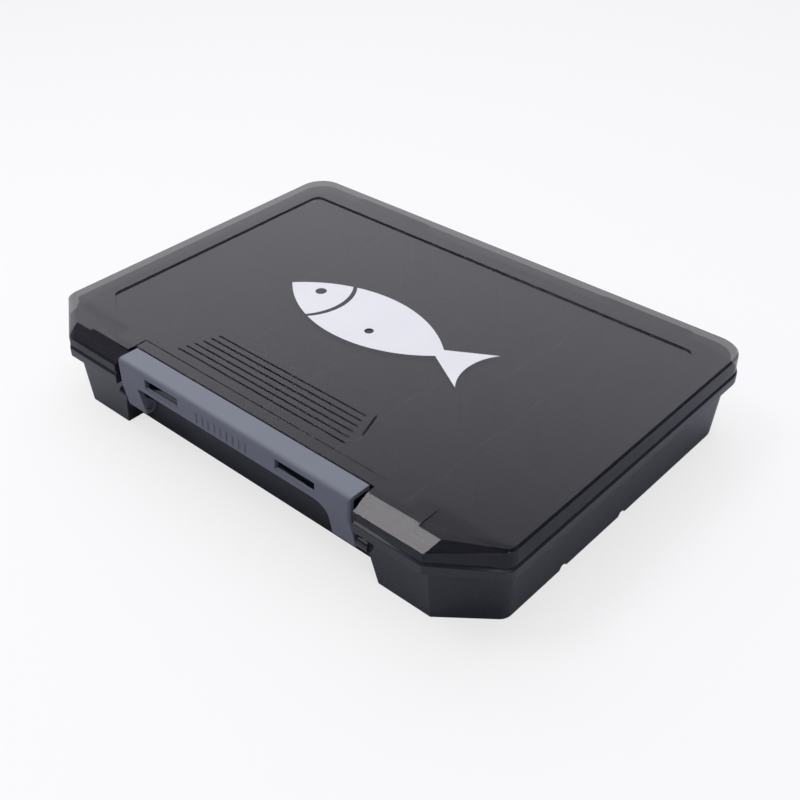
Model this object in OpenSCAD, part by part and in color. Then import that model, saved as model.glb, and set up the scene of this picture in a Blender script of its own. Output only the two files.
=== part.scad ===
// Flat tackle case: a black tray with lengthwise lanes and loose dividers, a smoke lid on a rear
// pin hinge, and one wide latch that swings on two pins between the front feet.
// The origin is under the middle of the case, on the surface it stands on. The latch faces -Y.

/* [Case] */
// Width of the rim from side to side
case_w = 255; // [245:1:300]
// Depth of the rim from front to back
rim_d = 181; // [175:1:220]
// Height from the feet to the top of the lid
case_h = 40; // [39:0.5:44]
// Height of the seam between rim and lid
seam_z = 32; // [31:0.5:33]
// Height of the seam gap
seam_gap = 0.2; // [0.1:0.05:0.4]
// Height of the rim band
rim_h = 5.3; // [4.5:0.1:6]
// Width of the chamfer along the rim's top edge
rim_chamfer = 1.2; // [0.6:0.1:1.6]
// How far the foot of the body is set in under the rim at the sides and back
body_inset = 5; // [4:0.1:6]
// How far the foot of the body is set in under the rim at the front
front_inset = 6; // [5:0.1:7]
// Spread of the body's outer walls from foot to rim
draft = 2; // [0.5:0.1:2.5]
// Radius of the back corners
back_r = 12; // [10:0.5:14]
// Thickness of the tray's outer walls at the floor
wall = 2; // [1.6:0.1:2.4]
// Thickness of the tray's floor
floor_t = 2.4; // [2:0.1:3]

/* [Front corners] */
// Half width of the straight front edge of the rim
chamfer_x = 102; // [99:0.5:105]
// Distance from the rim's front edge to the middle of the corner's round
corner_in = 21; // [18:0.5:24]
// Radius where the corner's slant meets the side
corner_r = 6; // [4:0.5:8]
// Half width of the recess between the two front feet, at the floor
foot_gap = 75.5; // [74.5:0.1:77]
// Lean of the feet's inner flanks from floor to rim
foot_lean = 6; // [4:0.5:7]
// Depth of the recess between the feet
foot_recess = 8; // [7:0.1:9]
// Half width at which the hollow of each front foot begins
foot_hollow_x = 85; // [83:0.5:90]

/* [Lanes] */
// Width of the front lane
lane_front = 41; // [36:0.5:44]
// Width of the middle lane
lane_middle = 38; // [34:0.5:42]
// Thickness of the walls between the lanes
lane_wall = 1.8; // [1.4:0.1:2.4]
// Width of the groove under each lane wall
groove_w = 4.4; // [3:0.1:5]
// Thickness of the floor left above each groove
groove_skin = 0.6; // [0.5:0.1:1]
// Gap between the top of the walls and the lid's ceiling
head_gap = 1.3; // [0.8:0.1:2]

/* [Dividers] */
// Distance between neighbouring divider slots
slot_pitch = 20; // [18:0.5:20.5]
// Thickness of a divider
divider_t = 1.4; // [1:0.1:2]
// Clearance round a divider in its slot
divider_gap = 0.25; // [0.15:0.05:0.4]
// How far a divider's top lies below the walls
divider_drop = 0.8; // [0.2:0.1:3]
// Depth of a slot rib from its wall
rib_d = 1.5; // [1:0.1:2]
// Thickness of a slot rib
rib_t = 1.2; // [0.8:0.1:1.6]
// Width of the thumb dip in a divider's top edge
dip_w = 14; // [8:1:18]
// Depth of the thumb dip
dip_d = 2.5; // [1:0.5:4]

/* [Lid] */
// Thickness of the lid's roof
roof_t = 2.2; // [2:0.1:2.6]
// Thickness of the lid's skirt
skirt_t = 2.2; // [1.8:0.1:2.6]
// How far the lid is set in from the rim's edge
lid_inset = 0.5; // [0:0.1:0.8]
// Depth of the sloping front edge of the lid
bevel_d = 8; // [6:0.5:8.5]
// Drop of the sloping front edge
bevel_h = 4; // [3:0.5:4.5]
// Angle at which the lid's front edge turns back at the corners
corner_angle = 26.5; // [20:0.5:34]
// Depth of the slope at the corners
corner_d = 6; // [5:0.5:7]
// Size of the small chamfer round the lid's top
top_chamfer = 0.8; // [0.4:0.1:1]
// Half width of the large recessed panel
panel_x = 111.5; // [100:0.5:113]
// Distance from the lid's back edge to the panel
panel_back = 18; // [12:0.5:24]
// Depth of the panel from back to front
panel_d = 131.5; // [120:0.5:134]
// How far the panel is let into the lid
panel_h = 0.8; // [0.4:0.1:1]
// Corner radius of the panel
panel_r = 4; // [1:0.5:6]
// Half width of the raised middle of the lid's front edge
brow_x = 94.5; // [90:0.5:98]
// How far the lid's corners drop beside the raised middle
brow_h = 0.5; // [0.2:0.1:0.8]
// Length of that drop from front to back
brow_d = 13; // [10:0.5:16]

/* [Grip pad] */
// Number of grooves in the grip pad
pad_grooves = 6; // [4:1:7]
// Distance between the grooves
pad_pitch = 3.5; // [3:0.1:4]
// Width of one groove
pad_groove_w = 0.9; // [0.5:0.1:1.4]
// Depth of one groove
pad_groove_h = 0.5; // [0.3:0.1:0.7]
// Distance from the rim's front edge to the first groove
pad_front = 23; // [20:0.5:25]
// Half length of the first groove
pad_half = 49; // [44:0.5:60]
// How much shorter each next groove is at each end
pad_step = 1.2; // [0:0.1:2]
// Border of the pad round its grooves
pad_border = 4; // [2:0.5:6]
// Sideways place of the pad's middle
pad_x = -5; // [-6:0.5:6]

/* [Latch] */
// Width of the latch
latch_w = 134.8; // [132:0.1:136]
// How far the latch's front lies behind the rim's front edge
latch_in = 0.6; // [0.3:0.1:0.9]
// Depth of the flange that lies over the lid, behind the front of the latch
flange_d = 8.4; // [8:0.1:9]
// Thickness of the flange
flange_t = 2; // [1.6:0.1:2.2]
// Thickness of the latch's front
latch_t = 2.7; // [2.2:0.1:3]
// Lean of the latch's front from top to bottom
latch_lean = 0.4; // [0.2:0.1:0.8]
// Height of the latch's front bar
bar_h = 9.9; // [9:0.1:10.6]
// Radius along the latch's top front edge
latch_round = 2.2; // [1:0.1:2.4]
// Radius of the upright corners at the latch's ends
latch_corner = 2; // [1:0.1:2.5]
// Width of each leg
leg_w = 12; // [10:0.5:14]
// Radius of the fillet between bar and right leg
right_fillet = 6; // [3:0.5:7]
// Radius of the fillet between bar and left leg
left_fillet = 1; // [0.5:0.1:6]
// Radius round the pin at the back of each leg's foot
leg_r = 3.3; // [3:0.1:3.6]
// Distance of the leg's front from the pin's axis, at the foot
leg_toe = 2.5; // [2.3:0.1:2.8]
// Height of the latch's pivot
pivot_z = 18.5; // [17:0.5:20]
// Distance of the pivot behind the rim's front edge
pivot_in = 5.6; // [5.2:0.1:6]
// Length of each window in the bar
window_w = 21; // [16:0.5:26]
// Height of each window
window_h = 4.6; // [4:0.1:4.8]
// Distance of the windows below the latch's top
window_drop = 2.5; // [2.5:0.1:2.8]
// Half distance between the windows' middles
window_x = 39; // [34:0.5:44]
// Thickness of the sill along each window's lower edge
sill_t = 0.9; // [0.8:0.1:1.2]

/* [Hinge] */
// Radius of the hinge barrel
barrel_r = 2.9; // [2.6:0.1:3.1]
// How far the barrel's axis lies behind the rim
axis_out = 1.6; // [1.6:0.1:2]
// Distance from each hinge's middle to the side of the rim
hinge_in = 51.5; // [40:0.5:65]
// Length of a tray knuckle
knuckle_w = 10; // [8:0.5:12]
// Length of the lid's knuckle
lid_knuckle_w = 24; // [18:0.5:28]
// Gap between neighbouring knuckles
knuckle_gap = 0.4; // [0.3:0.05:0.6]
// Radius of the hinge pins
pin_r = 1.5; // [1.2:0.1:1.5]
// Radius of the latch pins
latch_pin_r = 1.6; // [1.3:0.1:1.8]
// Length of a latch pin that is held in the tray
pin_hold = 5; // [4:0.5:5.5]

/* [Clearances] */
// Radial clearance of a pin that turns in its bore
run_fit = 0.06; // [0.03:0.01:0.1]
// Radial clearance of a pin that stays in its bore
press_gap = 0.01; // [0.01:0.01:0.02]
// Clearance past the ends of a bore or a pin
end_gap = 0.6; // [0.4:0.1:1]
// Clearance round a hinge barrel where lid or rim is cut back
barrel_gap = 0.5; // [0.4:0.05:0.8]
// Gap between the latch and the lid beside it
side_gap = 2; // [1.5:0.1:2.5]
// Gap between the latch and the ears that hold its pins
ear_gap = 0.5; // [0.3:0.05:0.8]
// Gap between the latch and the front of the lid and rim
latch_gap = 2.2; // [1.9:0.1:2.6]
// Gap between the flange and the seat under it
flange_gap = 0.6; // [0.5:0.05:0.7]

/* [Hidden] */
$fn = 64;
eps = 0.01;
corner_ratio = 0.2; // how far the corners' front ends move in for each step in at the sides
far = 400;
total_d = rim_d + axis_out + barrel_r;
front_y = -total_d / 2;
back_y = front_y + rim_d;
half_w = case_w / 2;
rim_top = seam_z - seam_gap;
rim_bottom = rim_top - rim_h;
ceiling_z = case_h - roof_t;
wall_top = ceiling_z - head_gap;
recess_y = front_y + front_inset + foot_recess;
inner_front = recess_y + wall;
inner_back = back_y - body_inset - wall;
wall_1 = inner_front + lane_front;
wall_2 = wall_1 + lane_wall + lane_middle;
lanes = [[inner_front, wall_1], [wall_1 + lane_wall, wall_2], [wall_2 + lane_wall, inner_back]];
hinge_x = half_w - hinge_in;
axis_y = back_y + axis_out;
axis_z = rim_top;
barrel_l = lid_knuckle_w + 2 * (knuckle_gap + knuckle_w);
pivot_y = front_y + pivot_in;
latch_x = latch_w / 2;
latch_front = front_y + latch_in;
latch_inner = latch_front + latch_t;
bay_x = latch_x + side_gap;
bay_y = latch_inner + latch_gap;
bar_z = case_h - bar_h;
flange_z = case_h - flange_t;
flange_back = latch_inner + flange_d;
flange_play = 0.8; // gap behind the flange
lip_w = 1.2; // width of the lip under the flange's back edge
lip_h = 0.75; // height of that lip
lip_play = 1; // play of the lip in its groove
seat_z = flange_z - flange_gap;
seat_back = flange_back + flange_play;
seat_t = 2.2; // thickness of the lid under the flange's seat
ledge_d = 5.5; // depth of the shallow ledge behind the flange
ledge_h = 0.3; // depth of that ledge below the lid's top
gate_x = -3; // place, radius and depth of the moulding dimple in the panel
gate_y = -6.5;
gate_r = 1.6;
gate_h = 0.3;
low_ceiling = seat_z - seat_t;
low_wall_top = low_ceiling - head_gap;
pin_end = latch_x + ear_gap + pin_hold;
ear_step = 0.2; // how much thinner the ears are than the legs
slot_w = divider_t + 2 * divider_gap;
rib_top = wall_top - 1; // the ribs end a little below the walls
knee_drop = 2.2; // how far below the rim each leg starts to widen towards its pin
knee_in = 0.8; // how far the back of the leg leans back down to there
bar_edge = 0.4; // chamfer along the lower edges of bar and legs
window_rim = 0.2; // depth of the windows at their lower edge
window_base = 1.3; // height of the bar left under the windows, behind their sills
sill_rise = 0.8; // rise of a sill's top from front to back
divider_foot = 0.8; // chamfer at the divider's lower corners
slots = [for (i = [-5 : 5]) i * slot_pitch];
top_front = front_y + lid_inset + bevel_d;
shoulder_y = top_front + brow_d; // where the roof is at its full height again behind the corners

tray_colour = [0.12, 0.12, 0.14];
lid_colour = [0.30, 0.30, 0.33];
latch_colour = [0.42, 0.44, 0.49];
divider_colour = [0.45, 0.46, 0.50];
pin_colour = [0.62, 0.63, 0.65];

// Points of an arc from angle a1 to a2, in degrees
function arc(c, r, a1, a2, n = 12) =
    [for (i = [0 : n]) let (a = a1 + (a2 - a1) * i / n) c + r * [cos(a), sin(a)]];

// Right half of the case's outline, set in by side and front: slanted front corner, round back one
function half_plan(side, front) =
    let (x = half_w - side, p = [chamfer_x - side * corner_ratio, front_y + front],
        c = [x - corner_r, front_y + corner_in + side], d = c - p,
        slant = atan2(d.y, d.x) - asin(corner_r / norm(d)))
    concat([p], arc(c, corner_r, slant - 90, 0),
        arc([x - back_r, back_y - side - back_r], back_r, 0, 90));

function flip(points) = [for (i = [len(points) - 1 : -1 : 0]) [-points[i].x, points[i].y]];

module plan(side, front) {
    half = half_plan(side, front);
    polygon(concat(half, flip(half)));
}

// Outline inside the tray's walls, grown by t
module inner_plan(t) {
    intersection() {
        plan(body_inset + wall - t, front_inset + wall - t);
        translate([-far, inner_front - t]) square(2 * far);
    }
}

// Outline of the hollow that reaches into each front foot, grown by t
module pocket_plan(t) {
    intersection() {
        plan(body_inset + wall - t, front_inset + wall - t);
        translate([foot_hollow_x - t, front_y]) square([far, shoulder_y - wall - front_y]);
    }
}

module both_sides() {
    children();
    mirror([1, 0, 0]) children();
}

module box(x1, x2, y1, y2, z1, z2) {
    translate([x1, y1, z1]) cube([x2 - x1, y2 - y1, z2 - z1]);
}

// Bar along X whose profile has the points [y, z]
module bar_x(x1, x2, points) {
    translate([x1, 0, 0]) rotate([90, 0, 90]) linear_extrude(x2 - x1) polygon(points);
}

// Round bar along X
module rod_x(x1, x2, y, z, r) {
    translate([x1, y, z]) rotate([0, 90, 0]) cylinder(h = x2 - x1, r = r);
}

// Slab of the case's outline between two heights
module slab(z1, z2, side, front) {
    translate([0, 0, z1]) linear_extrude(z2 - z1) plan(side, front);
}

// Hinge knuckle round the axis, with a web to the wall in front of it
module knuckle(x, w, web_z1, web_z2) {
    rod_x(x - w / 2, x + w / 2, axis_y, axis_z, barrel_r);
    box(x - w / 2, x + w / 2, back_y - skirt_t, axis_y, web_z1, web_z2);
}

// ---- Tray ----

module tray_shell() {
    difference() {
        hull() {
            slab(0, eps, body_inset, front_inset);
            slab(rim_bottom, rim_bottom + eps, body_inset - draft, front_inset - draft);
        }
        front_recess();
    }
    hull() {
        slab(rim_bottom, rim_top - rim_chamfer, 0, 0);
        slab(rim_bottom, rim_top, rim_chamfer, rim_chamfer);
    }
}

// Space between the two front feet
module front_recess() {
    top_x = foot_gap - foot_lean;
    translate([0, recess_y, 0]) rotate([90, 0, 0]) linear_extrude(far)
        polygon([[-foot_gap, -1], [foot_gap, -1], [foot_gap, 0], [top_x, rim_bottom],
            [-top_x, rim_bottom], [-foot_gap, 0]]);
}

// Ear beside each foot that carries a latch pin
module ear() {
    r = leg_r - ear_step;
    rod_x(latch_x + ear_gap, pin_end + end_gap, pivot_y, pivot_z, r);
    box(latch_x + ear_gap, pin_end + end_gap, pivot_y, recess_y + eps, pivot_z - r, pivot_z + r);
}

// Walls that stand up inside the lid, lower at the front corners
module collar() {
    difference() {
        translate([0, 0, rim_bottom]) {
            linear_extrude(wall_top - rim_bottom) inner_plan(wall);
            both_sides() linear_extrude(low_wall_top - rim_bottom) pocket_plan(wall);
        }
        both_sides() box(foot_hollow_x - wall, far, -far, shoulder_y + wall, low_wall_top, far);
    }
}

module lane_space(lane) {
    intersection() {
        translate([0, 0, floor_t]) linear_extrude(case_h) inner_plan(0);
        box(-far, far, lane[0], lane[1], 0, far);
    }
}

module slot_ribs(lane) {
    for (x = slots, s = [-1, 1], y = [lane[0] - eps, lane[1] - rib_d])
        translate([x + s * (slot_w + rib_t) / 2 - rib_t / 2, y, floor_t - eps])
            cube([rib_t, rib_d + eps, rib_top - floor_t]);
}

// Groove across the underside, below a wall between two lanes
module groove(y) {
    h = floor_t - groove_skin;
    bar_x(-far, far, [[y - groove_w / 2, -1], [y + groove_w / 2, -1], [y + groove_w / 2, 0],
        [y + groove_w / 2 - h / 2, h], [y - groove_w / 2 + h / 2, h], [y - groove_w / 2, 0]]);
}

module tray() {
    knuckle_x = (lid_knuckle_w + knuckle_w) / 2 + knuckle_gap;
    color(tray_colour) difference() {
        union() {
            tray_shell();
            collar();
            both_sides() {
                ear();
                for (s = [-1, 1]) knuckle(hinge_x + s * knuckle_x, knuckle_w, axis_z - barrel_r, axis_z);
            }
        }
        difference() {
            for (lane = lanes) lane_space(lane);
            for (lane = lanes) slot_ribs(lane);
        }
        both_sides() {
            translate([0, 0, floor_t]) linear_extrude(case_h) pocket_plan(0);
            rod_x(hinge_x - lid_knuckle_w / 2 - knuckle_gap, hinge_x + lid_knuckle_w / 2 + knuckle_gap,
                axis_y, axis_z, barrel_r + barrel_gap);
            rod_x(hinge_x - barrel_l, hinge_x + barrel_l, axis_y, axis_z, pin_r + press_gap);
            rod_x(latch_x, pin_end, pivot_y, pivot_z, latch_pin_r + press_gap);
        }
        box(-bay_x, bay_x, -far, bay_y, rim_bottom - eps, case_h);
        for (y = [wall_1, wall_2]) groove(y + lane_wall / 2);
    }
}

// ---- Lid ----

// Wedge over a slope that falls by bevel_h within the distance d towards -Y
module slope_cut(d) {
    bar_x(-far, far, [[0, case_h], [-2 * d, case_h - 2 * bevel_h], [-2 * d, far], [0, far]]);
}

module lid_block() {
    inset = lid_inset + top_chamfer;
    difference() {
        hull() {
            slab(seam_z, case_h - top_chamfer, lid_inset, lid_inset);
            slab(seam_z, case_h, inset, inset);
        }
        translate([0, top_front, 0]) slope_cut(bevel_d);
        both_sides() translate([chamfer_x + 1, top_front - 1, 0])
            rotate([0, 0, corner_angle]) slope_cut(corner_d);
    }
}

// Space under the roof, and the lower space under the front edge
module lid_hollow() {
    inset = lid_inset + skirt_t;
    x = foot_hollow_x;
    intersection() {
        slab(0, ceiling_z, inset, inset);
        union() {
            box(-far, far, shoulder_y, far, 0, far);
            box(-x, x, seat_back + roof_t / 2, far, 0, far);
        }
    }
    difference() {
        slab(0, low_ceiling, inset, inset);
        box(-bay_x - skirt_t, bay_x + skirt_t, -far, bay_y + skirt_t, 0, far);
    }
}

// Large shallow panel, less the grip pad that stands in its front edge
module lid_panel() {
    back = back_y - lid_inset - panel_back;
    x = panel_x - panel_r;
    pad_y = front_y + pad_front;
    pad_l = pad_grooves * pad_pitch;
    front_half = pad_half + pad_border;
    back_half = front_half - pad_grooves * pad_step;
    translate([0, 0, case_h - panel_h]) linear_extrude(far) difference() {
        union() {
            translate([-panel_x, back - panel_d + panel_r]) square([2 * panel_x, panel_d - 2 * panel_r]);
            translate([-x, back - panel_d]) square([2 * x, panel_d]);
            for (sx = [-x, x], sy = [back - panel_r, back - panel_d + panel_r])
                translate([sx, sy]) circle(panel_r);
        }
        polygon([[pad_x - front_half, pad_y], [pad_x + front_half, pad_y],
            [pad_x + back_half, pad_y + pad_l], [pad_x - back_half, pad_y + pad_l]]);
    }
}

// Grooves of the grip pad, and the dimple where the lid was filled in its mould
module pad_cuts() {
    translate([gate_x, gate_y, case_h - panel_h - gate_h]) cylinder(h = far, r = gate_r);
    for (i = [0 : pad_grooves - 1]) {
        half = pad_half - i * pad_step;
        y = front_y + pad_front + i * pad_pitch;
        translate([pad_x - half, y - pad_groove_w / 2, case_h - pad_groove_h])
            cube([2 * half, pad_groove_w, far]);
    }
}

// Seat for the latch's flange, with the groove that its lip drops into and a ledge behind it
module latch_bay() {
    lip_z = flange_z - lip_h - flange_gap;
    box(-bay_x, bay_x, -far, bay_y, 0, far);
    box(-bay_x, bay_x, -far, seat_back, seat_z, far);
    box(-bay_x, bay_x, flange_back - lip_w - lip_play, seat_back, lip_z, far);
    box(-bay_x, bay_x, -far, seat_back + ledge_d, case_h - ledge_h, far);
}

module brow_cut() {
    y = shoulder_y;
    drop = brow_h * (y - front_y) / brow_d;
    bar_x(brow_x, far, [[y, case_h], [front_y, case_h - drop], [front_y, far], [y, far]]);
}

module lid() {
    color(lid_colour) difference() {
        union() {
            difference() {
                lid_block();
                both_sides() rod_x(hinge_x - barrel_l / 2 - knuckle_gap, hinge_x + barrel_l / 2 + knuckle_gap,
                    axis_y, axis_z, barrel_r + barrel_gap);
                lid_hollow();
            }
            both_sides() knuckle(hinge_x, lid_knuckle_w, seam_z, axis_z + barrel_r);
        }
        both_sides() {
            rod_x(hinge_x - barrel_l / 2, hinge_x + barrel_l / 2, axis_y, axis_z, pin_r + run_fit);
            brow_cut();
        }
        latch_bay();
        lid_panel();
        pad_cuts();
    }
}

// ---- Latch ----

// Profile [y, z] of flange, lip and front bar
function bar_profile() =
    let (top_y = latch_front + latch_lean + latch_round)
    concat([[flange_back, flange_z - lip_h], [flange_back, case_h]],
        arc([top_y, case_h - latch_round], latch_round, 90, 180),
        [[latch_front, bar_z + bar_edge], [latch_front + bar_edge, bar_z], [latch_inner, bar_z],
            [latch_inner + latch_lean / 2, flange_z - bar_edge],
            [latch_inner + latch_lean / 2 + bar_edge, flange_z],
            [flange_back - lip_w, flange_z], [flange_back - lip_w, flange_z - lip_h]]);

// Profile [y, z] of a leg: a straight front down to a flat foot, round behind the pin
leg_profile = concat([[latch_inner, bar_z + bar_edge], [latch_front, bar_z + bar_edge],
        [pivot_y - leg_toe, pivot_z - leg_r + bar_edge], [pivot_y - leg_toe + bar_edge, pivot_z - leg_r]],
    arc([pivot_y, pivot_z], leg_r, 270, 390),
    [[latch_inner + knee_in, rim_bottom - knee_drop], [latch_inner, bar_z - knee_in]]);

module leg(fillet) {
    x1 = latch_x - leg_w;
    bar_x(x1, latch_x, leg_profile);
    intersection() {
        bar_x(x1 - fillet, x1 + eps, leg_profile);
        translate([0, pivot_y, 0]) rotate([90, 0, 0]) linear_extrude(far) difference() {
            translate([x1 - fillet, bar_z - fillet]) square([fillet + eps, fillet + bar_edge]);
            translate([x1 - fillet, bar_z - fillet]) circle(fillet);
        }
    }
}

// What is cut off each end of the latch to leave its upright corner round
module corner_cut() {
    x = latch_x - latch_corner;
    y = latch_front + latch_corner;
    difference() {
        box(x, far, -far, y, 0, far);
        translate([x, y, 0]) cylinder(h = far, r = latch_corner);
    }
}

// Window right through the front of the bar, behind a thin sill with a sloping top
module window(x) {
    z = case_h - window_drop;
    front = latch_front + latch_lean * (1 - (window_drop + window_h / 2) / bar_h);
    back = latch_inner + latch_lean;
    sill = z - window_h;
    bar_x(x - window_w / 2, x + window_w / 2, [[-far, z], [back, z], [back, bar_z + window_base],
        [front + sill_t, bar_z + window_base], [front + sill_t, sill + sill_rise],
        [front + window_rim, sill], [-far, sill]]);
}

module latch() {
    color(latch_colour) difference() {
        union() {
            bar_x(-latch_x, latch_x, bar_profile());
            leg(right_fillet);
            mirror([1, 0, 0]) leg(left_fillet);
        }
        both_sides() {
            corner_cut();
            window(window_x);
            rod_x(latch_x - 2 * leg_w, latch_x + leg_w, pivot_y, pivot_z, latch_pin_r + run_fit);
        }
    }
}

// ---- Pins ----

module hinge_pin(s) {
    color(pin_colour) rod_x(s * hinge_x - barrel_l / 2, s * hinge_x + barrel_l / 2, axis_y, axis_z, pin_r);
}

module latch_pin(s) {
    color(pin_colour) mirror([s > 0 ? 0 : 1, 0, 0])
        rod_x(latch_x - leg_w + end_gap, pin_end, pivot_y, pivot_z, latch_pin_r);
}

// ---- Dividers ----

// Loose plate across a lane at one of its slots, counted from the middle slot
module divider(lane, slot) {
    x = slot * slot_pitch;
    y1 = lane[0] + divider_gap;
    y2 = lane[1] - divider_gap;
    mid = (y1 + y2) / 2;
    top = wall_top - divider_drop;
    foot = divider_foot;
    color(divider_colour) bar_x(x - divider_t / 2, x + divider_t / 2,
        [[y1 + foot, floor_t], [y2 - foot, floor_t], [y2, floor_t + foot], [y2, top],
            [mid + dip_w / 2, top], [mid + dip_w / 2 - dip_d, top - dip_d],
            [mid - dip_w / 2 + dip_d, top - dip_d], [mid - dip_w / 2, top], [y1, top], [y1, floor_t + foot]]);
}

tray();
lid();
latch();
hinge_pin(-1);  // hinge_pin_left
hinge_pin(1);  // hinge_pin_right
latch_pin(-1);  // latch_pin_left
latch_pin(1);  // latch_pin_right
divider(lanes[0], -4);  // divider_front_1
divider(lanes[0], -2);  // divider_front_2
divider(lanes[0], 0);  // divider_front_3
divider(lanes[0], 2);  // divider_front_4
divider(lanes[0], 4);  // divider_front_5
divider(lanes[1], -4);  // divider_middle_1
divider(lanes[1], -2);  // divider_middle_2
divider(lanes[1], 0);  // divider_middle_3
divider(lanes[1], 2);  // divider_middle_4
divider(lanes[1], 4);  // divider_middle_5
divider(lanes[2], -3);  // divider_rear_1
divider(lanes[2], 0);  // divider_rear_2
divider(lanes[2], 3);  // divider_rear_3
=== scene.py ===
import math
import bpy
from mathutils import Matrix, Vector


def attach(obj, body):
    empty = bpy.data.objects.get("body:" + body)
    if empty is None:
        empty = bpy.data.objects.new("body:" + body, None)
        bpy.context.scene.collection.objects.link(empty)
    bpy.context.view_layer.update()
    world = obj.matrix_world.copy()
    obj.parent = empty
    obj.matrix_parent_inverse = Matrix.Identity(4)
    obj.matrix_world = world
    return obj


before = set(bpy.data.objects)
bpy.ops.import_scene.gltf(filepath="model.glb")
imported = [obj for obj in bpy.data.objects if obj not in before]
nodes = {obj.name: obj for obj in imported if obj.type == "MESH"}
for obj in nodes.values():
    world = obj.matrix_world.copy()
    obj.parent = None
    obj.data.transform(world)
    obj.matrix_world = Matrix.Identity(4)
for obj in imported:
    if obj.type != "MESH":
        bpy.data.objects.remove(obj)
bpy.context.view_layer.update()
print("frame loaded:", len(nodes), "nodes")

mm = 0.001


# ---- camera and room ----

camera = {
    "aim": (0.02306, -0.01584, 0.020),
    "azimuth": 42.465,
    "elevation": 36.430,
    "roll": -0.873,
    "distance": 0.48197,
    "lens": 51.1315, "sensor": 36,
    "nearest": 0.01, "farthest": 20,
}

room = {
    "floorSize": 6.0,
    "floorColor": (0.86, 0.86, 0.87),
    "floorShaded": (0.62, 0.64, 0.68),   # what lights and reflects in the case
    "floorGlow": 0.72,                   # share of plain white that the camera sees in the floor
    "floorRough": 0.9, "floorShine": 0.1,
    "brightSide": (-0.70, 0.71, 0.0),    # a pale wall behind the case, up to eye height
    "wallFrom": 0.50, "wallTo": 0.70,
    "wallLow": 0.54, "wallHigh": 0.88,
    "dim": (0.07, 0.075, 0.11), "bright": (1.76, 1.74, 1.85),
}

lamps = [
    {"name": "softbox", "place": (-0.414, -0.308, 0.873), "aim": (0.086, -0.088, 0.036),
     "size": (0.36, 0.32), "power": 2.6, "color": (1.0, 0.97, 0.99), "mirrored": True},
    {"name": "glint", "place": (0.69, -0.46, 0.76), "aim": (0.124, -0.074, 0.035),
     "size": (0.60, 0.20), "power": 1.6, "color": (1.0, 1.0, 1.0), "mirrored": True},
    {"name": "rimStrip", "place": (-0.35, -0.71, 0.51), "aim": (0.09, -0.092, 0.031),
     "size": (0.30, 0.22), "power": 0.60, "color": (1.0, 0.98, 1.0), "mirrored": True},
    {"name": "rightFill", "place": (0.75, 0.25, 0.45), "aim": (0.22, 0.02, 0.0),
     "size": (0.3, 0.3), "power": 0.6, "color": (0.97, 0.98, 1.0), "mirrored": False},
    {"name": "topFill", "place": (-0.15, 0.25, 1.1), "aim": (0, 0, 0),
     "size": (1.2, 1.2), "power": 7.0, "color": (0.97, 0.98, 1.0), "mirrored": False},
]


def backVector(azimuth, elevation):
    a, e = math.radians(azimuth), math.radians(elevation)
    return Vector((math.sin(a) * math.cos(e), -math.cos(a) * math.cos(e), math.sin(e)))


def placeCamera(c):
    data = bpy.data.cameras.new("photoCamera")
    obj = bpy.data.objects.new("photoCamera", data)
    bpy.context.scene.collection.objects.link(obj)
    data.lens = c["lens"]
    data.sensor_width = c["sensor"]
    data.clip_start = c["nearest"]
    data.clip_end = c["farthest"]
    back = backVector(c["azimuth"], c["elevation"])
    turn = back.to_track_quat("Z", "Y").to_matrix().to_4x4()
    tilt = Matrix.Rotation(math.radians(c["roll"]), 4, "Z")
    obj.matrix_world = Matrix.Translation(Vector(c["aim"]) + back * c["distance"]) @ turn @ tilt
    bpy.context.scene.camera = obj


def addLamp(lamp):
    data = bpy.data.lights.new(lamp["name"], "AREA")
    data.shape = "RECTANGLE"
    data.size, data.size_y = lamp["size"]
    data.energy = lamp["power"]
    data.color = lamp["color"]
    obj = bpy.data.objects.new(lamp["name"], data)
    bpy.context.scene.collection.objects.link(obj)
    place = Vector(lamp["place"])
    back = place - Vector(lamp["aim"])
    obj.matrix_world = Matrix.Translation(place) @ back.to_track_quat("Z", "Y").to_matrix().to_4x4()
    obj.visible_glossy = lamp["mirrored"]


def addNode(tree, kind, **values):
    node = tree.nodes.new(kind)
    for key, value in values.items():
        if hasattr(node, key):
            setattr(node, key, value)
        else:
            node.inputs[key.replace("_", " ")].default_value = value
    return node


def ramped(tree, value, low, high, first=0.0, last=1.0):
    node = addNode(tree, "ShaderNodeMapRange", interpolation_type="SMOOTHSTEP")
    node.inputs["From Min"].default_value, node.inputs["From Max"].default_value = low, high
    node.inputs["To Min"].default_value, node.inputs["To Max"].default_value = first, last
    tree.links.new(value, node.inputs["Value"])
    return node.outputs["Result"]


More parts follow.
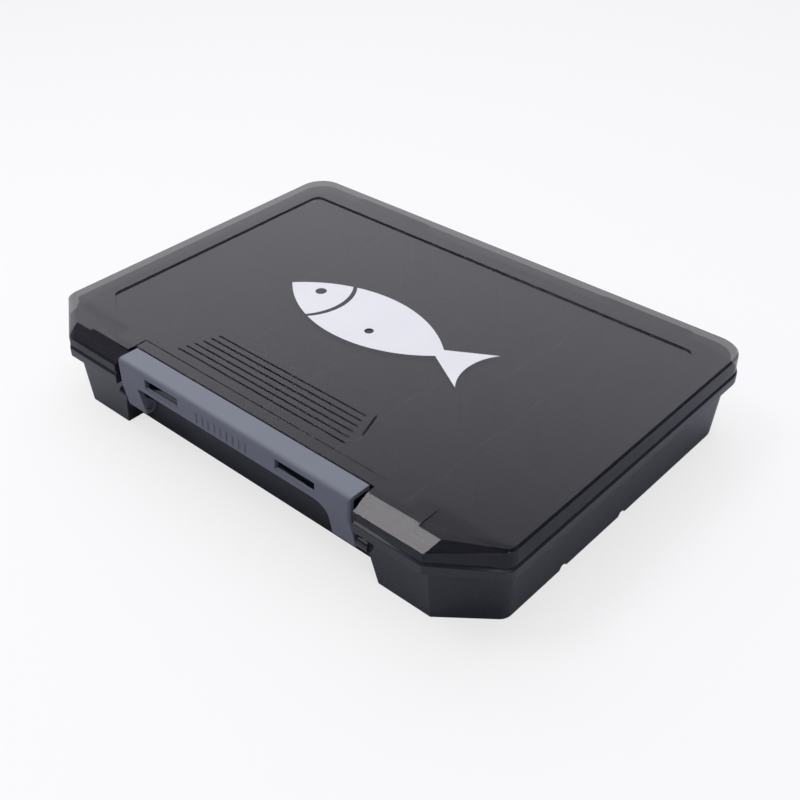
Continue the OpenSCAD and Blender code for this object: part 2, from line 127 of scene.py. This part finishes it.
def buildWorld(r):
    world = bpy.data.worlds.new("studio")
    bpy.context.scene.world = world
    world.use_nodes = True
    tree = world.node_tree
    tree.nodes.clear()
    coords = addNode(tree, "ShaderNodeTexCoord")
    split = addNode(tree, "ShaderNodeSeparateXYZ")
    side = addNode(tree, "ShaderNodeVectorMath", operation="DOT_PRODUCT")
    side.inputs[1].default_value = r["brightSide"]
    both = addNode(tree, "ShaderNodeMath", operation="MULTIPLY")
    tone = addNode(tree, "ShaderNodeMix", data_type="RGBA")
    tone.inputs["A"].default_value = (*r["dim"], 1)
    tone.inputs["B"].default_value = (*r["bright"], 1)
    path = addNode(tree, "ShaderNodeLightPath")
    seen = addNode(tree, "ShaderNodeMix", data_type="RGBA")
    seen.inputs["B"].default_value = (1, 1, 1, 1)
    glow = addNode(tree, "ShaderNodeBackground")
    end = addNode(tree, "ShaderNodeOutputWorld")
    tree.links.new(coords.outputs["Generated"], split.inputs[0])
    tree.links.new(coords.outputs["Generated"], side.inputs[0])
    tree.links.new(ramped(tree, side.outputs["Value"], r["wallFrom"], r["wallTo"]), both.inputs[0])
    tree.links.new(ramped(tree, split.outputs["Z"], r["wallLow"], r["wallHigh"], 1.0, 0.0), both.inputs[1])
    tree.links.new(both.outputs[0], tone.inputs["Factor"])
    tree.links.new(path.outputs["Is Camera Ray"], seen.inputs["Factor"])
    tree.links.new(tone.outputs["Result"], seen.inputs["A"])
    tree.links.new(seen.outputs["Result"], glow.inputs["Color"])
    tree.links.new(glow.outputs[0], end.inputs[0])


def buildFloor(r):
    bpy.ops.mesh.primitive_plane_add(size=r["floorSize"], location=(0, 0, 0))
    floor = bpy.context.object
    floor.name = "floor"
    material = bpy.data.materials.new("paleFloor")
    material.use_nodes = True
    tree = material.node_tree
    surface = tree.nodes["Principled BSDF"]
    surface.inputs["Roughness"].default_value = r["floorRough"]
    surface.inputs["Specular IOR Level"].default_value = r["floorShine"]
    path = addNode(tree, "ShaderNodeLightPath")
    tone = addNode(tree, "ShaderNodeMix", data_type="RGBA")
    tone.inputs["A"].default_value = (*r["floorShaded"], 1)
    tone.inputs["B"].default_value = (*r["floorColor"], 1)
    glow = addNode(tree, "ShaderNodeEmission", Color=(1, 1, 1, 1))
    share = addNode(tree, "ShaderNodeMath", operation="MULTIPLY")
    share.inputs[1].default_value = r["floorGlow"]
    mix = addNode(tree, "ShaderNodeMixShader")
    tree.links.new(path.outputs["Is Camera Ray"], tone.inputs["Factor"])
    tree.links.new(tone.outputs["Result"], surface.inputs["Base Color"])
    tree.links.new(path.outputs["Is Camera Ray"], share.inputs[0])
    tree.links.new(share.outputs[0], mix.inputs[0])
    tree.links.new(surface.outputs[0], mix.inputs[1])
    tree.links.new(glow.outputs[0], mix.inputs[2])
    tree.links.new(mix.outputs[0], tree.nodes["Material Output"].inputs["Surface"])
    floor.data.materials.append(material)


placeCamera(camera)
buildWorld(room)
buildFloor(room)
for lamp in lamps:
    addLamp(lamp)
bpy.context.scene.view_settings.view_transform = "Standard"
print("camera, room and lamps in place")


# ---- shared surface effects ----

def newGroup(name, inputs, outputs):
    tree = bpy.data.node_groups.new(name, "ShaderNodeTree")
    for label, value in inputs:
        socket = tree.interface.new_socket(label, in_out="INPUT", socket_type="NodeSocketFloat")
        socket.default_value = value
    for label in outputs:
        tree.interface.new_socket(label, in_out="OUTPUT", socket_type="NodeSocketFloat")
    return tree, addNode(tree, "NodeGroupInput"), addNode(tree, "NodeGroupOutput")


def buildGrain():
    # fine pebbled skin that a mould leaves, with slow drifts in its depth
    tree, gin, gout = newGroup("mouldGrain", [("Scale", 2500.0), ("Drift Scale", 40.0)], ["Height", "Drift"])
    coords = addNode(tree, "ShaderNodeTexCoord")
    cells = addNode(tree, "ShaderNodeTexVoronoi", feature="SMOOTH_F1", Smoothness=0.6)
    fine = addNode(tree, "ShaderNodeTexNoise", Detail=3.0, Roughness=0.6)
    drift = addNode(tree, "ShaderNodeTexNoise", Detail=2.0, Roughness=0.5)
    add = addNode(tree, "ShaderNodeMath", operation="MULTIPLY_ADD")
    add.inputs[1].default_value = 0.6
    for node in (cells, fine):
        tree.links.new(coords.outputs["Object"], node.inputs["Vector"])
        tree.links.new(gin.outputs["Scale"], node.inputs["Scale"])
    tree.links.new(coords.outputs["Object"], drift.inputs["Vector"])
    tree.links.new(gin.outputs["Drift Scale"], drift.inputs["Scale"])
    tree.links.new(cells.outputs["Distance"], add.inputs[0])
    tree.links.new(fine.outputs[0], add.inputs[2])
    tree.links.new(add.outputs[0], gout.inputs["Height"])
    tree.links.new(drift.outputs[0], gout.inputs["Drift"])
    return tree


handlingLook = {
    "scuffTurn": (0.3, 0.2, 0.5), "scuffStretch": (1.0, 22.0, 4.0),
    "scuffFrom": 0.62, "scuffTo": 0.74,
    "dustFrom": 0.13, "dustTo": 0.07,    # the nearer a speck's middle, the more dust
    "dustColor": (0.45, 0.45, 0.45),
}


def buildHandling(look):
    # hairline scuffs that run mostly one way, and specks of dust, both as masks
    tree, gin, gout = newGroup("handling", [("Scuff Scale", 60.0), ("Dust Scale", 900.0)],
                               ["Scuffs", "Dust"])
    coords = addNode(tree, "ShaderNodeTexCoord")
    turn = addNode(tree, "ShaderNodeMapping")
    turn.inputs["Rotation"].default_value = look["scuffTurn"]
    turn.inputs["Scale"].default_value = look["scuffStretch"]
    lines = addNode(tree, "ShaderNodeTexNoise", Detail=4.0, Roughness=0.7)
    cutLines = addNode(tree, "ShaderNodeMapRange")
    cutLines.inputs["From Min"].default_value = look["scuffFrom"]
    cutLines.inputs["From Max"].default_value = look["scuffTo"]
    specks = addNode(tree, "ShaderNodeTexVoronoi", feature="F1")
    cutSpecks = addNode(tree, "ShaderNodeMapRange")
    cutSpecks.inputs["From Min"].default_value = look["dustFrom"]
    cutSpecks.inputs["From Max"].default_value = look["dustTo"]
    tree.links.new(coords.outputs["Object"], turn.inputs["Vector"])
    tree.links.new(turn.outputs["Vector"], lines.inputs["Vector"])
    tree.links.new(gin.outputs["Scuff Scale"], lines.inputs["Scale"])
    tree.links.new(lines.outputs[0], cutLines.inputs["Value"])
    tree.links.new(coords.outputs["Object"], specks.inputs["Vector"])
    tree.links.new(gin.outputs["Dust Scale"], specks.inputs["Scale"])
    tree.links.new(specks.outputs["Distance"], cutSpecks.inputs["Value"])
    tree.links.new(cutLines.outputs["Result"], gout.inputs["Scuffs"])
    tree.links.new(cutSpecks.outputs["Result"], gout.inputs["Dust"])
    return tree


grain = buildGrain()
handling = buildHandling(handlingLook)
print("surface effects built")


# ---- materials ----

plastics = {
    "tray": {
        "dark": (0.016, 0.018, 0.026), "light": (0.024, 0.026, 0.036), "rough": (0.20, 0.30),
        "grainScale": 1800.0, "grainDepth": 0.000004, "scuffs": 0.10, "dust": 0.05,
    },
    "lid": {
        "dark": (0.008, 0.008, 0.013), "light": (0.015, 0.015, 0.021), "rough": (0.08, 0.13),
        "grainScale": 160.0, "grainDepth": 0.000001, "scuffs": 0.05, "dust": 0.04, "clear": 0.35,
    },
    "latch": {
        "dark": (0.131, 0.142, 0.180), "light": (0.156, 0.168, 0.207), "rough": (0.42, 0.52),
        "grainScale": 3200.0, "grainDepth": 0.000020, "scuffs": 0.06, "dust": 0.02,
    },
    "divider": {
        "dark": (0.17, 0.18, 0.21), "light": (0.21, 0.22, 0.25), "rough": (0.35, 0.45),
        "grainScale": 2400.0, "grainDepth": 0.000008, "scuffs": 0.12, "dust": 0.05,
    },
    "print": {
        "dark": (0.68, 0.68, 0.71), "light": (0.76, 0.76, 0.79), "rough": (0.38, 0.50),
        "grainScale": 5000.0, "grainDepth": 0.000006, "scuffs": 0.10, "dust": 0.0,
    },
}


def plasticMaterial(name, p):
    material = bpy.data.materials.new(name)
    material.use_nodes = True
    tree = material.node_tree
    surface = tree.nodes["Principled BSDF"]
    skin = addNode(tree, "ShaderNodeGroup", node_tree=grain)
    skin.inputs["Scale"].default_value = p["grainScale"]
    marks = addNode(tree, "ShaderNodeGroup", node_tree=handling)
    shade = addNode(tree, "ShaderNodeMix", data_type="RGBA")
    shade.inputs["A"].default_value = (*p["dark"], 1)
    shade.inputs["B"].default_value = (*p["light"], 1)
    tree.links.new(skin.outputs["Drift"], shade.inputs["Factor"])
    dusty = addNode(tree, "ShaderNodeMix", data_type="RGBA")
    dusty.inputs["B"].default_value = (*handlingLook["dustColor"], 1)
    dustShare = addNode(tree, "ShaderNodeMath", operation="MULTIPLY")
    dustShare.inputs[1].default_value = p["dust"]
    tree.links.new(marks.outputs["Dust"], dustShare.inputs[0])
    tree.links.new(dustShare.outputs[0], dusty.inputs["Factor"])
    tree.links.new(shade.outputs["Result"], dusty.inputs["A"])
    tree.links.new(dusty.outputs["Result"], surface.inputs["Base Color"])
    rough = addNode(tree, "ShaderNodeMapRange")
    rough.inputs["To Min"].default_value, rough.inputs["To Max"].default_value = p["rough"]
    tree.links.new(skin.outputs["Drift"], rough.inputs["Value"])
    worn = addNode(tree, "ShaderNodeMath", operation="MULTIPLY_ADD")
    worn.inputs[1].default_value = p["scuffs"]
    tree.links.new(marks.outputs["Scuffs"], worn.inputs[0])
    tree.links.new(rough.outputs["Result"], worn.inputs[2])
    tree.links.new(worn.outputs[0], surface.inputs["Roughness"])
    bump = addNode(tree, "ShaderNodeBump", Strength=1.0, Distance=p["grainDepth"])
    tree.links.new(skin.outputs["Height"], bump.inputs["Height"])
    tree.links.new(bump.outputs["Normal"], surface.inputs["Normal"])
    if "clear" in p:                     # smoke: part of the light goes straight through
        through = addNode(tree, "ShaderNodeBsdfTransparent")
        mix = addNode(tree, "ShaderNodeMixShader")
        mix.inputs[0].default_value = p["clear"]
        tree.links.new(surface.outputs[0], mix.inputs[1])
        tree.links.new(through.outputs[0], mix.inputs[2])
        tree.links.new(mix.outputs[0], tree.nodes["Material Output"].inputs["Surface"])
    return material


pinSteel = {
    "dark": (0.42, 0.42, 0.43), "light": (0.62, 0.62, 0.63), "rough": (0.22, 0.42),
    "stretch": (60.0, 4000.0, 4000.0),   # drawn wire: fine lines along X
}


def pinMaterial(p):
    material = bpy.data.materials.new("pinSteel")
    material.use_nodes = True
    tree = material.node_tree
    surface = tree.nodes["Principled BSDF"]
    surface.inputs["Metallic"].default_value = 1.0
    coords = addNode(tree, "ShaderNodeTexCoord")
    stretch = addNode(tree, "ShaderNodeMapping")
    stretch.inputs["Scale"].default_value = p["stretch"]
    lines = addNode(tree, "ShaderNodeTexNoise", Detail=2.0, Scale=1.0)
    tone = addNode(tree, "ShaderNodeMix", data_type="RGBA")
    tone.inputs["A"].default_value = (*p["dark"], 1)
    tone.inputs["B"].default_value = (*p["light"], 1)
    rough = addNode(tree, "ShaderNodeMapRange")
    rough.inputs["To Min"].default_value, rough.inputs["To Max"].default_value = p["rough"]
    tree.links.new(coords.outputs["Object"], stretch.inputs["Vector"])
    tree.links.new(stretch.outputs["Vector"], lines.inputs["Vector"])
    tree.links.new(lines.outputs[0], tone.inputs["Factor"])
    tree.links.new(lines.outputs[0], rough.inputs["Value"])
    tree.links.new(tone.outputs["Result"], surface.inputs["Base Color"])
    tree.links.new(rough.outputs["Result"], surface.inputs["Roughness"])
    return material


materials = {name: plasticMaterial(name + "Plastic", p) for name, p in plastics.items()}
materials["pin"] = pinMaterial(pinSteel)
print("materials built:", ", ".join(materials))


# ---- moulded pieces from the frame ----

# "picked" rounds the lid's outer top edge, "all" the edges sharper than "angle"
edges = {
    "tray": {"all": 0.28 * mm, "angle": 28, "segments": 2},
    "lid": {"all": 0.12 * mm, "angle": 11, "segments": 2, "picked": 0.25 * mm},
    "latch": {"all": 0.25 * mm, "angle": 24, "segments": 3},
    "divider": {"all": 0.18 * mm, "angle": 28, "segments": 2},
    "pin": {"all": 0.25 * mm, "angle": 40, "segments": 2},
}
finish = {"weld": 0.01 * mm, "flatAngle": 0.3, "pickedSegments": 5, "smoothAngle": 35}

# where the lid's outer top edge runs, in mm: sides, back and the round corners between them
lidRim = {"top": 38.9, "front": -73, "side": 126.0, "back": 85.4, "cornerX": 117, "cornerY": 77.5}


def kindOf(name):
    for kind in ("divider", "pin"):
        if kind in name:
            return kind
    return name


def isOnRim(co, r):
    x, y, z = (v / mm for v in co)
    inCorner = abs(x) > r["cornerX"] and y > r["cornerY"]
    return z > r["top"] and y > r["front"] and (abs(x) > r["side"] or y > r["back"] or inCorner)


def addBevel(obj, name, width, segments):
    bevel = obj.modifiers.new(name, "BEVEL")
    bevel.width = width
    bevel.segments = segments
    bevel.use_clamp_overlap = False
    return bevel


def softenEdges(obj, e):
    weld = obj.modifiers.new("weld", "WELD")
    weld.merge_threshold = finish["weld"]
    flat = obj.modifiers.new("flatFaces", "DECIMATE")
    flat.decimate_type = "DISSOLVE"
    flat.angle_limit = math.radians(finish["flatAngle"])
    if "picked" in e:
        group = obj.vertex_groups.new(name="picked")
        group.add([v.index for v in obj.data.vertices if isOnRim(v.co, lidRim)], 1.0, "ADD")
        picked = addBevel(obj, "pickedEdges", e["picked"], finish["pickedSegments"])
        picked.limit_method = "VGROUP"
        picked.vertex_group = "picked"
    everywhere = addBevel(obj, "roundedEdges", e["all"], e["segments"])
    everywhere.limit_method = "ANGLE"
    everywhere.angle_limit = math.radians(e["angle"])
    even = obj.modifiers.new("evenShading", "WEIGHTED_NORMAL")
    even.weight = 100


for name, obj in nodes.items():
    kind = kindOf(name)
    obj.data.materials.clear()
    obj.data.materials.append(materials[kind])
    for face in obj.data.polygons:
        face.use_smooth = True
    softenEdges(obj, edges[kind])
print("frame pieces dressed")


# ---- pieces of the scene ----

def only(obj):
    bpy.ops.object.select_all(action="DESELECT")
    obj.select_set(True)
    bpy.context.view_layer.objects.active = obj


def applyAll(obj):
    only(obj)
    for modifier in list(obj.modifiers):
        bpy.ops.object.modifier_apply(modifier=modifier.name)


def settle(obj, body, slot):
    # place in the mesh, object at the origin, smooth by angle, on its body
    only(obj)
    bpy.ops.object.transform_apply(location=True, rotation=True, scale=True)
    bpy.ops.object.shade_smooth_by_angle(angle=math.radians(finish["smoothAngle"]))
    obj.data.materials.clear()
    obj.data.materials.append(materials[slot])
    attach(obj, body)


def disc(x, y, radius, z0, z1, corners=96):
    bpy.ops.mesh.primitive_cylinder_add(vertices=corners, radius=radius * mm, depth=(z1 - z0) * mm,
                                        location=(x * mm, y * mm, (z0 + z1) / 2 * mm))
    return bpy.context.object


def combine(obj, other, how):
    step = obj.modifiers.new(how.lower(), "BOOLEAN")
    step.operation = how
    step.object = other
    step.solver = "EXACT"
    applyAll(obj)
    bpy.data.objects.remove(other)


# a plain fish, printed on the panel
fish = {
    "middle": (-12.0, 0.5), "length": 92.0, "height": 38.0,
    "low": 39.17, "top": 39.23, "corners": 256,
    "tail": 17.0, "tailIn": 8.0, "tailCut": 24.0, "tailNotch": 5.0,
    "eye": 2.6, "eyeAlong": 0.66, "eyeUp": 0.16,
    "gill": 24.0, "gillLine": 2.4, "gillAlong": 0.30,
    "dimple": (-3.0, -6.5), "dimpleEdge": 2.1,   # left bare round the dimple in the panel
}


def buildFish(f):
    cx, cy = f["middle"]
    halfL, halfH = f["length"] / 2, f["height"] / 2
    radius = (halfL ** 2 + halfH ** 2) / (2 * halfH)
    rise = radius - halfH
    over = (f["low"] - 1, f["top"] + 1)
    body = disc(cx, cy + rise, radius, f["low"], f["top"], f["corners"])
    combine(body, disc(cx, cy - rise, radius, *over, f["corners"]), "INTERSECT")
    tailX = cx + halfL - f["tailIn"] + f["tail"]
    notchX = tailX + f["tail"] / 2 - f["tailNotch"] + f["tailCut"]
    tail = disc(tailX, cy, f["tail"], f["low"], f["top"], 3)
    only(tail)
    bpy.ops.transform.rotate(value=math.radians(-90), orient_axis="Z",
                             center_override=(tailX * mm, cy * mm, 0))
    combine(tail, disc(notchX, cy, f["tailCut"], *over), "DIFFERENCE")
    combine(body, tail, "UNION")
    eye = disc(cx - halfL * f["eyeAlong"], cy + halfH * f["eyeUp"], f["eye"], *over)
    combine(body, eye, "DIFFERENCE")
    gillX = cx - halfL * f["gillAlong"]
    gill = disc(gillX - f["gill"], cy, f["gill"], *over)
    inner = disc(gillX - f["gill"] - f["gillLine"], cy, f["gill"], over[0] - 1, over[1] + 1)
    combine(gill, inner, "DIFFERENCE")
    combine(body, gill, "DIFFERENCE")
    combine(body, disc(*f["dimple"], f["dimpleEdge"], *over), "DIFFERENCE")
    body.name = "fishPrint"
    settle(body, "lid", "print")


buildFish(fish)
print("print on the lid built")


# short grip ribs in the middle of the latch's front
ribs = {
    "count": 9, "pitch": 3.6, "middleX": -3.0,
    "size": (1.5, 0.9, 4.4), "middleZ": 34.1, "proud": 0.32,
    "faceLow": (-92.15, 30.5), "faceHigh": (-91.75, 37.8),
    "round": 0.22, "roundSegments": 3,
}


def buildRibs(r):
    (y0, z0), (y1, z1) = r["faceLow"], r["faceHigh"]
    lean = math.atan2(y1 - y0, z1 - z0)
    faceY = y0 + (r["middleZ"] - z0) * math.tan(lean)
    firstX = r["middleX"] - (r["count"] - 1) * r["pitch"] / 2
    y = faceY + r["size"][1] / 2 - r["proud"]
    bpy.ops.mesh.primitive_cube_add(size=mm, location=(firstX * mm, y * mm, r["middleZ"] * mm))
    rib = bpy.context.object
    rib.name = "gripRibs"
    bpy.ops.transform.resize(value=r["size"])
    bpy.ops.transform.rotate(value=lean, orient_axis="X",
                             center_override=(0, faceY * mm, r["middleZ"] * mm))
    bpy.ops.object.transform_apply(location=False, rotation=True, scale=True)
    soft = rib.modifiers.new("soft", "BEVEL")
    soft.width = r["round"] * mm
    soft.segments = r["roundSegments"]
    row = rib.modifiers.new("row", "ARRAY")
    row.count = r["count"]
    row.use_relative_offset = False
    row.use_constant_offset = True
    row.constant_offset_displace = (r["pitch"] * mm, 0, 0)
    applyAll(rib)
    settle(rib, "latch", "latch")


buildRibs(ribs)
print("grip ribs built")
